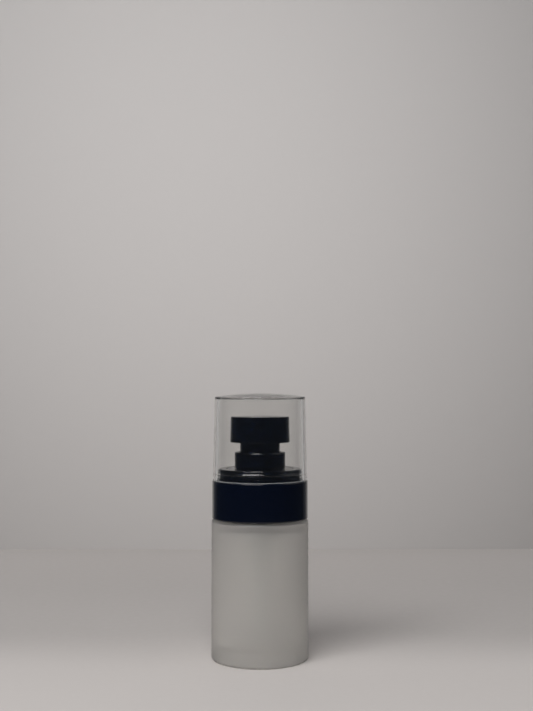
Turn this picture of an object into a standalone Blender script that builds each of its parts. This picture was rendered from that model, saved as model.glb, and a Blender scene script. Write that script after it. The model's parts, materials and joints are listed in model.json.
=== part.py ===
"""A 30 ml serum bottle of frosted glass, with a screw-on treatment pump and a clear overcap.

Every piece is its own closed solid, in metres, with +Z up. The origin is the middle of the base, on the
surface that the bottle stands on, and the nozzle faces -Y. Almost every piece is turned about the Z axis.
Its outline starts from its own lowest level, and its object stands at that level, on its joint's axis.
"""

import math

import bmesh
import bpy
from mathutils import Matrix, Vector

MM = 0.001

# Clearances
SEAT_GAP = 0.3 * MM
RUNNING_GAP = 0.3 * MM
PRESSED_GAP = 0.2 * MM
MOULDED_EDGE = 0.3 * MM

# Glass bottle
BOTTLE_RADIUS = 17.5 * MM
BODY_HEIGHT = 50.0 * MM
GLASS_WALL = 2.3 * MM
BASE_THICKNESS = 4.8 * MM
SHOULDER_THICKNESS = 2.4 * MM
HEEL_FILLET = 1.0 * MM
SHOULDER_FILLET = 1.0 * MM
CAVITY_FILLET = 2.2 * MM
PUNT_DEPTH = 0.6 * MM
PUNT_SLOPE_WIDTH = 1.6 * MM
REST_RING_WIDTH = 2.4 * MM
NECK_BORE_RADIUS = 6.6 * MM
NECK_WALL = 2.2 * MM
NECK_LIP_FILLET = 0.5 * MM
THREAD_DEPTH = 1.1 * MM
THREAD_CLEARANCE = 0.3 * MM
BEAD_HEIGHT = 1.4 * MM
BEAD_RISE = 1.6 * MM

# Collar: the outer sleeve, with a hub that grips the closure
COLLAR_HEIGHT = 13.2 * MM
COLLAR_INSET = 0.2 * MM
COLLAR_WALL = 1.5 * MM
COLLAR_TOP_THICKNESS = 1.3 * MM
COLLAR_HUB_WALL = 1.1 * MM
COLLAR_HUB_LENGTH = 8.0 * MM
COLLAR_EDGE = 0.35 * MM

# Screw closure
CLOSURE_WALL = 1.7 * MM
CLOSURE_RISE = 1.2 * MM
DECK_THICKNESS = 1.6 * MM
DECK_GROOVE_DEPTH = 0.8 * MM

# Ring that the overcap snaps onto
CAP_SEAT_HEIGHT = 4.5 * MM
CAP_SEAT_WALL = 1.3 * MM
CAP_SEAT_TOP_THICKNESS = 1.0 * MM
SNAP_GROOVE_DEPTH = 0.75 * MM
SNAP_GROOVE_HEIGHT = 0.75 * MM
SNAP_GROOVE_DROP = 1.05 * MM
SNAP_GROOVE_PITCH = 1.05 * MM
SNAP_GROOVES = 2
SNAP_LEAD_DEPTH = 0.28 * MM

# Ferrule
FERRULE_HEIGHT = 5.7 * MM
FERRULE_WALL = 1.65 * MM
FERRULE_FOOT_WIDTH = 0.2 * MM
FERRULE_FOOT_HEIGHT = 0.9 * MM
FERRULE_SPIGOT_WALL = 0.9 * MM
FERRULE_EDGE = 0.35 * MM

# Push button
STROKE = 3.2 * MM
HEAD_RADIUS = 10.85 * MM
HEAD_DRAFT = 0.22 * MM
HEAD_HEIGHT = 9.3 * MM
HEAD_WALL = 1.4 * MM
HEAD_ROOF = 1.5 * MM
HEAD_EDGE = 0.3 * MM
FINGER_DISH_RADIUS = 8.8 * MM
FINGER_DISH_DEPTH = 0.35 * MM
SKIRT_RADIUS = 7.25 * MM
SKIRT_WALL = 1.2 * MM
BOSS_WALL = 1.3 * MM
NOZZLE_DROP = 2.95 * MM
NOZZLE_RADIUS = 1.1 * MM
NOZZLE_LENGTH = 2.2 * MM
NOZZLE_RECESS = 0.25 * MM
NOZZLE_HOLE_RADIUS = 0.35 * MM
NOZZLE_CONE_DEPTH = 0.7 * MM
NOZZLE_EDGE = 0.15 * MM
NOZZLE_RIM_WIDTH = 0.2 * MM
DUCT_WALL = 1.0 * MM
DUCT_OVERLAP = 0.4 * MM
CHANNEL_RADIUS = 0.6 * MM
RISER_RADIUS = 0.8 * MM
SOCKET_TO_NOZZLE = 2.25 * MM

# Pump core
GASKET_THICKNESS = 1.0 * MM
FLANGE_THICKNESS = 1.2 * MM
FLANGE_INSET = 0.6 * MM
HOUSING_NECK_GAP = 0.7 * MM
HOUSING_WALL = 1.0 * MM
HOUSING_TAPER_HEIGHT = 2.6 * MM
HOUSING_FILLET = 0.8 * MM
VENT_RADIUS = 0.5 * MM
VENT_DROP = 2.2 * MM
GUIDE_PLUG_LENGTH = 5.0 * MM
GUIDE_FLANGE_WIDTH = 0.8 * MM
GUIDE_FLANGE_THICKNESS = 1.3 * MM
GUIDE_RISE = 2.5 * MM
GUIDE_WALL = 1.4 * MM
BOSS_TO_GUIDE = 0.5 * MM

# Plunger
STEM_RADIUS = 1.9 * MM
STEM_WALL = 0.7 * MM
PORT_WIDTH = 0.8 * MM
PORT_HEIGHT = 0.9 * MM
PISTON_SLIP = 0.5 * MM
PISTON_HEIGHT = 4.8 * MM
PISTON_WAIST_DEPTH = 0.8 * MM
PISTON_LIP_HEIGHT = 0.9 * MM
PISTON_HOLLOW_DEPTH = 1.4 * MM
PISTON_SLEEVE_WALL = 0.9 * MM
ROD_FOOT_THICKNESS = 1.2 * MM
ROD_FOOT_GAP = 0.7 * MM
ROD_SPIGOT_LENGTH = 3.2 * MM
ROD_PIN_LENGTH = 2.2 * MM
ROD_PIN_GAP = 0.5 * MM

# Return spring
SPRING_WIRE_RADIUS = 0.3 * MM
SPRING_RADIUS = 3.4 * MM
SPRING_TURNS = 7
SPRING_RESERVE = 0.4 * MM
SPRING_END_RISE = 1.05 * MM
SPRING_POINTS_A_TURN = 10

# Inlet valve
CAGE_TOP_THICKNESS = 1.0 * MM
CAGE_RING_HEIGHT = 1.1 * MM
CAGE_WALL = 1.0 * MM
CAGE_SLOTS = 4
CAGE_SLOT_RADIUS = 0.7 * MM
CAGE_SLOT_CIRCLE_RADIUS = 2.0 * MM
BALL_RADIUS = 1.6 * MM
BALL_LIFT = 0.8 * MM
BALL_STOP_GAP = 0.1 * MM
BALL_POCKET_GAP = 0.6 * MM
INLET_RADIUS = 0.9 * MM
INLET_WEB = 1.0 * MM

# Dip tube
TUBE_RADIUS = 1.5 * MM
TUBE_WALL = 0.6 * MM
TUBE_SOCKET_LENGTH = 5.0 * MM
TUBE_SOCKET_WALL = 1.0 * MM
TUBE_FLOOR_GAP = 1.0 * MM
TUBE_CUT_ANGLE = math.radians(40)

# Overcap
OVERCAP_INSET = 0.2 * MM
OVERCAP_WALL = 1.4 * MM
OVERCAP_DRAFT = 0.65 * MM
OVERCAP_TOP_THICKNESS = 2.0 * MM
OVERCAP_DOME_RISE = 0.95 * MM
OVERCAP_EDGE = 0.7 * MM
OVERCAP_INNER_EDGE = 0.7 * MM
OVERCAP_RIM_EDGE = 0.3 * MM
OVERCAP_SEAT_GAP = 0.3 * MM
OVERCAP_BEAD_PROUD = 0.12 * MM
OVERCAP_BEAD_HEIGHT = 0.8 * MM
OVERCAP_HEADROOM = 6.4 * MM

# How finely round forms are divided
OUTER_SIDES = 40
INNER_SIDES = 24
TOOL_SIDES = 8
FILLET_STEP = 0.4 * MM
MOST_FILLET_STEPS = 4
MOST_OF_EDGE = 0.45

# Radii, from the neck outwards
neck_radius = NECK_BORE_RADIUS + NECK_WALL
thread_radius = neck_radius + THREAD_DEPTH
closure_bore = thread_radius + THREAD_CLEARANCE
closure_radius = closure_bore + CLOSURE_WALL
hub_bore = closure_radius + SEAT_GAP
collar_radius = BOTTLE_RADIUS - COLLAR_INSET
overcap_radius = collar_radius - OVERCAP_INSET
cap_seat_radius = overcap_radius - OVERCAP_WALL - OVERCAP_SEAT_GAP
ferrule_bore = SKIRT_RADIUS + RUNNING_GAP
ferrule_radius = ferrule_bore + FERRULE_WALL

# Radii, from the neck inwards
housing_radius = NECK_BORE_RADIUS - HOUSING_NECK_GAP
chamber_radius = housing_radius - HOUSING_WALL
plug_radius = chamber_radius - RUNNING_GAP
guide_bore = STEM_RADIUS + RUNNING_GAP
guide_radius = guide_bore + GUIDE_WALL
guide_flange_radius = chamber_radius + GUIDE_FLANGE_WIDTH
deck_hole_radius = guide_flange_radius + SEAT_GAP
stem_bore = STEM_RADIUS - STEM_WALL
socket_bore = STEM_RADIUS + SEAT_GAP
boss_radius = socket_bore + BOSS_WALL
tube_socket_bore = TUBE_RADIUS + SEAT_GAP
tube_socket_radius = tube_socket_bore + TUBE_SOCKET_WALL

# Levels, from the table up
collar_bottom = BODY_HEIGHT + SEAT_GAP
collar_top = collar_bottom + COLLAR_HEIGHT
closure_bottom = BODY_HEIGHT + CLOSURE_RISE
seat_bottom = collar_top + SEAT_GAP
deck_top = seat_bottom + CAP_SEAT_HEIGHT
ferrule_foot = deck_top + SEAT_GAP
ferrule_top = ferrule_foot + FERRULE_HEIGHT
head_bottom = ferrule_top + STROKE + PRESSED_GAP
head_top = head_bottom + HEAD_HEIGHT
nozzle_level = head_top - NOZZLE_DROP
nozzle_face = HEAD_RADIUS - HEAD_DRAFT * (nozzle_level - head_bottom) / HEAD_HEIGHT - NOZZLE_RECESS
ceiling = head_top + OVERCAP_HEADROOM
overcap_top = ceiling + OVERCAP_TOP_THICKNESS

# Levels, from the closure's deck down into the bottle
deck_bottom = deck_top - DECK_THICKNESS
flange_top = deck_bottom - SEAT_GAP
flange_bottom = flange_top - FLANGE_THICKNESS
gasket_bottom = flange_bottom - SEAT_GAP - GASKET_THICKNESS
neck_top = gasket_bottom - SEAT_GAP
guide_bottom = flange_top - GUIDE_PLUG_LENGTH
guide_top = deck_top + GUIDE_RISE
piston_top = guide_bottom - SEAT_GAP - PISTON_SLIP
piston_bottom = piston_top - PISTON_HEIGHT
foot_top = piston_bottom - SEAT_GAP
foot_bottom = foot_top - ROD_FOOT_THICKNESS
spring_top = foot_bottom - SEAT_GAP
spring_length = (SPRING_TURNS + 1) * 2 * SPRING_WIRE_RADIUS + STROKE + SPRING_RESERVE
spring_bottom = spring_top - spring_length
cage_top = spring_bottom - SEAT_GAP
cage_bottom = cage_top - CAGE_TOP_THICKNESS - CAGE_RING_HEIGHT
chamber_floor = cage_bottom - SEAT_GAP
ball_level = cage_top - CAGE_TOP_THICKNESS - BALL_STOP_GAP - BALL_LIFT - BALL_RADIUS
seat_level = ball_level - (BALL_RADIUS + SEAT_GAP) * math.sqrt(2) + INLET_RADIUS
tube_socket_top = seat_level - INLET_WEB
tube_socket_bottom = tube_socket_top - TUBE_SOCKET_LENGTH
tube_top = tube_socket_top - SEAT_GAP
tube_bottom = BASE_THICKNESS + TUBE_FLOOR_GAP

# Levels inside the push button
skirt_bottom = deck_top + SEAT_GAP + STROKE
boss_bottom = guide_top + BOSS_TO_GUIDE + STROKE
socket_top = nozzle_level - SOCKET_TO_NOZZLE
stem_bottom = foot_top + SEAT_GAP
stem_top = socket_top - SEAT_GAP


def clear_scene():
    for obj in list(bpy.data.objects):
        bpy.data.objects.remove(obj)


def principled(name, colour, roughness, metallic=0.0, transmission=0.0):
    material = bpy.data.materials.new(name)
    material.use_nodes = True
    shader = material.node_tree.nodes["Principled BSDF"]
    shader.inputs["Base Color"].default_value = (*colour, 1.0)
    shader.inputs["Roughness"].default_value = roughness
    shader.inputs["Metallic"].default_value = metallic
    shader.inputs["Transmission Weight"].default_value = transmission
    return material


def rounded(corners, closed=True):
    """The outline through these corners, each (r, z) or (r, z, fillet), with its fillets as arcs."""
    points = []
    for i, (r, z, *fillet) in enumerate(corners):
        corner = Vector((r, z))
        is_end = not closed and i in (0, len(corners) - 1)
        if not fillet or is_end:
            points.append(corner)
            continue
        before = Vector(corners[i - 1][:2]) - corner
        after = Vector(corners[(i + 1) % len(corners)][:2]) - corner
        half_angle = before.angle(after) / 2
        longest = MOST_OF_EDGE * min(before.length, after.length)
        reach = min(fillet[0] / math.tan(half_angle), longest)
        radius = reach * math.tan(half_angle)
        towards = (before.normalized() + after.normalized()).normalized()
        centre = corner + towards * radius / math.sin(half_angle)
        first = corner + before.normalized() * reach - centre
        last = corner + after.normalized() * reach - centre
        sweep = first.angle(last)
        steps = min(max(round(radius / FILLET_STEP), 1), MOST_FILLET_STEPS)
        for step in range(steps + 1):
            share = step / steps
            spoke = first * math.sin((1 - share) * sweep) + last * math.sin(share * sweep)
            points.append(centre + spoke / math.sin(sweep))
    return points


def new_object(name, mesh, material):
    mesh.shade_smooth()
    mesh.set_sharp_from_angle(angle=math.radians(30))
    mesh.materials.append(material)
    obj = bpy.data.objects.new(name, mesh)
    bpy.context.scene.collection.objects.link(obj)
    return obj


def turned(name, outline, material, sides, closed=True):
    """A solid turned about Z. A closed outline makes a ring, and an open one starts and ends on the axis."""
    mesh = bpy.data.meshes.new(name)
    bm = bmesh.new()
    verts = [bm.verts.new((r, 0, z)) for r, z in outline]
    edges = [bm.edges.new(pair) for pair in zip(verts, verts[1:])]
    if closed:
        edges.append(bm.edges.new((verts[-1], verts[0])))
    bmesh.ops.spin(
        bm, geom=verts + edges, axis=(0, 0, 1), cent=(0, 0, 0), angle=math.tau, steps=sides, use_merge=True
    )
    bmesh.ops.remove_doubles(bm, verts=bm.verts, dist=0.001 * MM)
    bmesh.ops.recalc_face_normals(bm, faces=bm.faces)
    bm.to_mesh(mesh)
    bm.free()
    return new_object(name, mesh, material)


def from_levels(base, corners):
    """The corners with their world levels counted from the piece's own base."""
    return [(r, z - base, *fillet) for r, z, *fillet in corners]


def place(obj, level):
    obj.location.z = level
    return obj


def rod(name, radius, start, end, sides=INNER_SIDES):
    """A round bar between two points, used as a tool that cuts or joins."""
    along = Vector(end) - Vector(start)
    bm = bmesh.new()
    bmesh.ops.create_cone(
        bm, cap_ends=True, segments=sides, radius1=radius, radius2=radius, depth=along.length
    )
    turn = along.to_track_quat("Z", "Y").to_matrix().to_4x4()
    middle = Matrix.Translation((Vector(start) + Vector(end)) / 2)
    bmesh.ops.transform(bm, matrix=middle @ turn, verts=bm.verts)
    return as_tool(name, bm)


def block(name, low, high):
    """A box between two corners, used as a tool that cuts or joins."""
    size = Vector(high) - Vector(low)
    middle = (Vector(high) + Vector(low)) / 2
    bm = bmesh.new()
    bmesh.ops.create_cube(bm, size=1)
    bmesh.ops.transform(bm, matrix=Matrix.Translation(middle) @ Matrix.Diagonal((*size, 1)), verts=bm.verts)
    return as_tool(name, bm)


def as_tool(name, bm):
    mesh = bpy.data.meshes.new(name)
    bm.to_mesh(mesh)
    bm.free()
    tool = bpy.data.objects.new(name, mesh)
    tool.hide_render = True
    tool.display_type = "WIRE"
    bpy.context.scene.collection.objects.link(tool)
    return tool


def combine(obj, tool, operation):
    """Cuts the tool from the object, or joins it. The tool is drawn in the object's own frame."""
    tool.parent = obj
    modifier = obj.modifiers.new(tool.name, "BOOLEAN")
    modifier.operation = operation
    modifier.solver = "EXACT"
    modifier.object = tool


def make_bottle(glass):
    cavity_radius = BOTTLE_RADIUS - GLASS_WALL
    punt_radius = BOTTLE_RADIUS - HEEL_FILLET - REST_RING_WIDTH
    bead_bottom = BODY_HEIGHT + BEAD_RISE
    corners = [
        (0, PUNT_DEPTH),
        (punt_radius - PUNT_SLOPE_WIDTH, PUNT_DEPTH, PUNT_SLOPE_WIDTH),
        (punt_radius, 0),
        (BOTTLE_RADIUS, 0, HEEL_FILLET),
        (BOTTLE_RADIUS, BODY_HEIGHT, SHOULDER_FILLET),
        (neck_radius, BODY_HEIGHT, NECK_LIP_FILLET),
        (neck_radius, bead_bottom),
        (thread_radius, bead_bottom + BEAD_HEIGHT / 3),
        (thread_radius, bead_bottom + BEAD_HEIGHT * 2 / 3),
        (neck_radius, bead_bottom + BEAD_HEIGHT),
        (neck_radius, neck_top, NECK_LIP_FILLET),
        (NECK_BORE_RADIUS, neck_top, NECK_LIP_FILLET),
        (NECK_BORE_RADIUS, BODY_HEIGHT - SHOULDER_THICKNESS, NECK_LIP_FILLET),
        (cavity_radius, BODY_HEIGHT - SHOULDER_THICKNESS, CAVITY_FILLET),
        (cavity_radius, BASE_THICKNESS, CAVITY_FILLET),
        (0, BASE_THICKNESS),
    ]
    return turned("bottle", rounded(corners, closed=False), glass, OUTER_SIDES, closed=False)


def make_collar(gloss_black):
    inner_radius = collar_radius - COLLAR_WALL
    hub_radius = hub_bore + COLLAR_HUB_WALL
    underside = collar_top - COLLAR_TOP_THICKNESS
    corners = [
        (collar_radius, collar_top, COLLAR_EDGE),
        (collar_radius, collar_bottom, COLLAR_EDGE),
        (inner_radius, collar_bottom),
        (inner_radius, underside),
        (hub_radius, underside),
        (hub_radius, underside - COLLAR_HUB_LENGTH),
        (hub_bore, underside - COLLAR_HUB_LENGTH),
        (hub_bore, collar_top),
    ]
    outline = rounded(from_levels(collar_bottom, corners))
    return place(turned("collar", outline, gloss_black, OUTER_SIDES), collar_bottom)


def make_screw_closure(black):
    groove_inner = ferrule_bore - SEAT_GAP
    groove_outer = ferrule_bore + FERRULE_SPIGOT_WALL + SEAT_GAP
    groove_floor = deck_top - DECK_GROOVE_DEPTH
    corners = [
        (closure_radius, deck_top, MOULDED_EDGE),
        (closure_radius, closure_bottom, MOULDED_EDGE),
        (closure_bore, closure_bottom),
        (closure_bore, deck_bottom),
        (deck_hole_radius, deck_bottom),
        (deck_hole_radius, deck_top),
        (groove_inner, deck_top),
        (groove_inner, groove_floor),
        (groove_outer, groove_floor),
        (groove_outer, deck_top),
    ]
    outline = rounded(from_levels(closure_bottom, corners))
    return place(turned("screw_closure", outline, black, OUTER_SIDES), closure_bottom)


def make_cap_seat_ring(gloss_black):
    """A ring hollow from below, with grooves round its outside that the overcap's bead clicks over.

    The upper groove has a sloping lower side, which leads the bead back out of it.
    """
    inner_radius = cap_seat_radius - CAP_SEAT_WALL
    hub_radius = hub_bore + COLLAR_HUB_WALL
    groove_radius = cap_seat_radius - SNAP_GROOVE_DEPTH
    corners = [(cap_seat_radius, deck_top, COLLAR_EDGE)]
    for number in range(SNAP_GROOVES):
        middle = deck_top - SNAP_GROOVE_DROP - number * SNAP_GROOVE_PITCH
        lower_corner = (groove_radius, middle - SNAP_GROOVE_HEIGHT / 4)
        if number == 0:
            lower_corner = (cap_seat_radius - SNAP_LEAD_DEPTH, middle)
        corners += [
            (cap_seat_radius, middle + SNAP_GROOVE_HEIGHT / 2),
            (groove_radius, middle + SNAP_GROOVE_HEIGHT / 4),
            lower_corner,
            (cap_seat_radius, middle - SNAP_GROOVE_HEIGHT / 2),
        ]
    corners += [
        (cap_seat_radius, seat_bottom),
        (inner_radius, seat_bottom),
        (inner_radius, deck_top - CAP_SEAT_TOP_THICKNESS),
        (hub_radius, deck_top - CAP_SEAT_TOP_THICKNESS),
        (hub_radius, seat_bottom),
        (hub_bore, seat_bottom),
        (hub_bore, deck_top),
    ]
    outline = rounded(from_levels(seat_bottom, corners))
    return place(turned("cap_seat_ring", outline, gloss_black, OUTER_SIDES), seat_bottom)


def make_ferrule(gloss_black):
    foot_radius = ferrule_radius + FERRULE_FOOT_WIDTH
    spigot_bottom = deck_top - DECK_GROOVE_DEPTH + SEAT_GAP
    corners = [
        (ferrule_radius, ferrule_top, FERRULE_EDGE),
        (ferrule_radius, ferrule_foot + FERRULE_FOOT_HEIGHT, FERRULE_EDGE),
        (foot_radius, ferrule_foot),
        (ferrule_bore + FERRULE_SPIGOT_WALL, ferrule_foot),
        (ferrule_bore + FERRULE_SPIGOT_WALL, spigot_bottom),
        (ferrule_bore, spigot_bottom),
        (ferrule_bore, ferrule_top, FERRULE_EDGE),
    ]
    outline = rounded(from_levels(spigot_bottom, corners))
    return place(turned("ferrule", outline, gloss_black, OUTER_SIDES), spigot_bottom)


def make_actuator(gloss_black):
    """The push button: roof, side wall, skirt and stem socket turned in one, and a duct to the nozzle."""
    roof_underside = head_top - HEAD_ROOF
    wall_inner = HEAD_RADIUS - HEAD_DRAFT - HEAD_WALL
    skirt_inner = SKIRT_RADIUS - SKIRT_WALL
    dish = [
        (FINGER_DISH_RADIUS * share, head_top - FINGER_DISH_DEPTH * (1 - share**2))
        for share in (0, 1 / 3, 2 / 3, 1)
    ]
    corners = dish + [
        (HEAD_RADIUS - HEAD_DRAFT, head_top, HEAD_EDGE),
        (HEAD_RADIUS, head_bottom, HEAD_EDGE),
        (wall_inner, head_bottom),
        (wall_inner, roof_underside),
        (SKIRT_RADIUS, roof_underside),
        (SKIRT_RADIUS, skirt_bottom, HEAD_EDGE),
        (skirt_inner, skirt_bottom),
        (skirt_inner, roof_underside),
        (boss_radius, roof_underside),
        (boss_radius, boss_bottom),
        (socket_bore, boss_bottom),
        (socket_bore, socket_top),
        (0, socket_top),
    ]
    outline = rounded(from_levels(skirt_bottom, corners), closed=False)
    button = place(turned("actuator", outline, gloss_black, OUTER_SIDES, closed=False), skirt_bottom)

    level = nozzle_level - skirt_bottom
    pocket_radius = NOZZLE_RADIUS + SEAT_GAP
    pocket_floor = nozzle_face - NOZZLE_LENGTH - SEAT_GAP
    duct_half = pocket_radius + DUCT_WALL
    duct_top = roof_underside + DUCT_OVERLAP - skirt_bottom
    duct = block(
        "nozzle_duct_block",
        (-duct_half, -wall_inner - DUCT_OVERLAP, level - duct_half),
        (duct_half, -boss_radius + DUCT_OVERLAP, duct_top),
    )
    combine(button, duct, "UNION")
    outside = (0, -2 * HEAD_RADIUS, level)
    pocket = rod("nozzle_pocket_tool", pocket_radius, (0, -pocket_floor, level), outside)
    combine(button, pocket, "DIFFERENCE")
    channel = rod("nozzle_channel_tool", CHANNEL_RADIUS, (0, 0, level), outside, TOOL_SIDES)
    combine(button, channel, "DIFFERENCE")
    riser_bottom = (0, 0, socket_top - RISER_RADIUS - skirt_bottom)
    riser = rod("riser_tool", RISER_RADIUS, riser_bottom, (0, 0, level), TOOL_SIDES)
    combine(button, riser, "DIFFERENCE")
    return button


def make_nozzle_insert(black):
    """Turned about its own Z axis and laid along Y, its open cone outwards."""
    corners = [
        (NOZZLE_HOLE_RADIUS, 0),
        (NOZZLE_RADIUS, 0),
        (NOZZLE_RADIUS, NOZZLE_LENGTH, NOZZLE_EDGE),
        (NOZZLE_RADIUS - NOZZLE_RIM_WIDTH, NOZZLE_LENGTH),
        (NOZZLE_HOLE_RADIUS, NOZZLE_LENGTH - NOZZLE_CONE_DEPTH),
    ]
    insert = turned("nozzle_insert", rounded(corners), black, INNER_SIDES)
    insert.rotation_euler.x = math.pi / 2
    insert.location = (0, NOZZLE_LENGTH - nozzle_face, nozzle_level)
    return insert


def make_neck_gasket(foam):
    corners = [
        (neck_radius, GASKET_THICKNESS),
        (neck_radius, 0),
        (NECK_BORE_RADIUS, 0),
        (NECK_BORE_RADIUS, GASKET_THICKNESS),
    ]
    return place(turned("neck_gasket", rounded(corners), foam, INNER_SIDES), gasket_bottom)


def make_pump_housing(natural):
    flange_radius = thread_radius - FLANGE_INSET
    taper_bottom = seat_level - HOUSING_WALL
    pocket_radius = BALL_RADIUS + BALL_POCKET_GAP
    corners = [
        (flange_radius, flange_top),
        (flange_radius, flange_bottom),
        (housing_radius, flange_bottom, HOUSING_FILLET),
        (housing_radius, taper_bottom + HOUSING_TAPER_HEIGHT, HOUSING_FILLET),
        (tube_socket_radius, taper_bottom, HOUSING_FILLET),
        (tube_socket_radius, tube_socket_bottom),
        (tube_socket_bore, tube_socket_bottom),
        (tube_socket_bore, tube_socket_top),
        (INLET_RADIUS, tube_socket_top),
        (INLET_RADIUS, seat_level),
        (pocket_radius, seat_level + pocket_radius - INLET_RADIUS),
        (pocket_radius, chamber_floor),
        (chamber_radius, chamber_floor),
        (chamber_radius, flange_top),
    ]
    outline = rounded(from_levels(tube_socket_bottom, corners))
    housing = place(turned("pump_housing", outline, natural, INNER_SIDES), tube_socket_bottom)
    level = flange_bottom - VENT_DROP - tube_socket_bottom
    vent = rod("vent_tool", VENT_RADIUS, (0, 0, level), (0, 2 * housing_radius, level), TOOL_SIDES)
    combine(housing, vent, "DIFFERENCE")
    return housing


def make_stem_guide(natural):
    """A plug in the barrel's mouth, with a flange on the barrel's own and a neck round the stem."""
    flange_seat = flange_top + SEAT_GAP
    flange_face = flange_seat + GUIDE_FLANGE_THICKNESS
    corners = [
        (guide_radius, guide_top, MOULDED_EDGE),
        (guide_radius, flange_face),
        (guide_flange_radius, flange_face, MOULDED_EDGE),
        (guide_flange_radius, flange_seat),
        (plug_radius, flange_seat),
        (plug_radius, guide_bottom, MOULDED_EDGE),
        (guide_bore, guide_bottom),
        (guide_bore, guide_top),
    ]
    outline = rounded(from_levels(guide_bottom, corners))
    return place(turned("stem_guide", outline, natural, INNER_SIDES), guide_bottom)


def make_stem(natural):
    """A tube with a port on each side of its foot, which the piston covers at rest."""
    length = stem_top - stem_bottom
    corners = [
        (STEM_RADIUS, length, MOULDED_EDGE),
        (STEM_RADIUS, 0),
        (stem_bore, 0),
        (stem_bore, length),
    ]
    stem = place(turned("stem", rounded(corners), natural, INNER_SIDES), stem_bottom)
    port = block(
        "stem_port_tool",
        (-2 * STEM_RADIUS, -PORT_WIDTH / 2, -PORT_HEIGHT),
        (2 * STEM_RADIUS, PORT_WIDTH / 2, PORT_HEIGHT),
    )
    combine(stem, port, "DIFFERENCE")
    return stem


def make_piston_rod(natural):
    """A foot that shuts the piston's bore, a spigot up into the stem and a pin down into the spring."""
    foot_radius = chamber_radius - ROD_FOOT_GAP
    spigot_radius = stem_bore - SEAT_GAP
    pin_radius = SPRING_RADIUS - SPRING_WIRE_RADIUS - ROD_PIN_GAP
    pin_bottom = foot_bottom - ROD_PIN_LENGTH
    corners = [
        (0, foot_top + ROD_SPIGOT_LENGTH),
        (spigot_radius, foot_top + ROD_SPIGOT_LENGTH, MOULDED_EDGE),
        (spigot_radius, foot_top),
        (foot_radius, foot_top, MOULDED_EDGE),
        (foot_radius, foot_bottom),
        (pin_radius, foot_bottom),
        (pin_radius, pin_bottom, HOUSING_FILLET),
        (0, pin_bottom),
    ]
    outline = rounded(from_levels(pin_bottom, corners), closed=False)
    return place(turned("piston_rod", outline, natural, INNER_SIDES, closed=False), pin_bottom)


def make_piston_seal(seal):
    """A sleeve on the stem with a wiping lip at each end, hollowed behind the lips so that they flex."""
    sleeve_radius = guide_bore + PISTON_SLEEVE_WALL
    waist_radius = plug_radius - PISTON_WAIST_DEPTH
    top = PISTON_HEIGHT
    corners = [
        (plug_radius, top),
        (plug_radius, top - PISTON_LIP_HEIGHT),
        (waist_radius, top - 2 * PISTON_LIP_HEIGHT),
        (waist_radius, 2 * PISTON_LIP_HEIGHT),
        (plug_radius, PISTON_LIP_HEIGHT),
        (plug_radius, 0),
        (waist_radius, 0),
        (sleeve_radius, PISTON_HOLLOW_DEPTH),
        (sleeve_radius, 0),
        (guide_bore, 0),
        (guide_bore, top),
        (sleeve_radius, top),
        (sleeve_radius, top - PISTON_HOLLOW_DEPTH),
        (waist_radius, top),
    ]
    return place(turned("piston_seal", rounded(corners), seal, INNER_SIDES), piston_bottom)


def spring_rise(turns):
    """How far the wire's middle has climbed after these turns, with a closer turn at each end."""
    rise = spring_length - 2 * SPRING_WIRE_RADIUS
    if turns < 1:
        return SPRING_END_RISE * turns
    if turns > SPRING_TURNS - 1:
        return rise - SPRING_END_RISE * (SPRING_TURNS - turns)
    return SPRING_END_RISE + (rise - 2 * SPRING_END_RISE) * (turns - 1) / (SPRING_TURNS - 2)


def least_spring_gap(points):
    """The least space between the wire and itself, a turn further on."""
    least = math.inf
    for number, point in enumerate(points):
        for later in points[number + SPRING_POINTS_A_TURN // 2 :]:
            least = min(least, (later - point).length - 2 * SPRING_WIRE_RADIUS)
    return least


def make_return_spring(steel):
    points = []
    for number in range(SPRING_TURNS * SPRING_POINTS_A_TURN + 1):
        turns = number / SPRING_POINTS_A_TURN
        x = SPRING_RADIUS * math.cos(math.tau * turns)
        y = SPRING_RADIUS * math.sin(math.tau * turns)
        points.append(Vector((x, y, SPRING_WIRE_RADIUS + spring_rise(turns))))
    print(f"return_spring: least gap to itself {least_spring_gap(points) / MM:.2f} mm")
    curve = bpy.data.curves.new("return_spring", "CURVE")
    curve.dimensions = "3D"
    curve.bevel_depth = SPRING_WIRE_RADIUS
    curve.bevel_resolution = 1
    curve.use_fill_caps = True
    spline = curve.splines.new("POLY")
    spline.points.add(len(points) - 1)
    for target, point in zip(spline.points, points):
        target.co = (*point, 1)
    curve.materials.append(steel)
    spring = bpy.data.objects.new("return_spring", curve)
    bpy.context.scene.collection.objects.link(spring)
    return place(spring, spring_bottom)


def make_ball_retainer(natural):
    """A cage that the spring stands on. The ball rises to its middle, and the slots let the product by."""
    top = CAGE_RING_HEIGHT + CAGE_TOP_THICKNESS
    corners = [
        (0, top),
        (plug_radius, top, MOULDED_EDGE),
        (plug_radius, 0),
        (plug_radius - CAGE_WALL, 0),
        (plug_radius - CAGE_WALL, CAGE_RING_HEIGHT),
        (0, CAGE_RING_HEIGHT),
    ]
    outline = rounded(corners, closed=False)
    cage = place(turned("ball_retainer", outline, natural, INNER_SIDES, closed=False), cage_bottom)
    for number in range(CAGE_SLOTS):
        angle = math.tau * (number + 0.5) / CAGE_SLOTS
        x = CAGE_SLOT_CIRCLE_RADIUS * math.cos(angle)
        y = CAGE_SLOT_CIRCLE_RADIUS * math.sin(angle)
        tool = rod(f"cage_slot_tool_{number}", CAGE_SLOT_RADIUS, (x, y, 0), (x, y, 2 * top), TOOL_SIDES)
        combine(cage, tool, "DIFFERENCE")
    return cage


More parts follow.
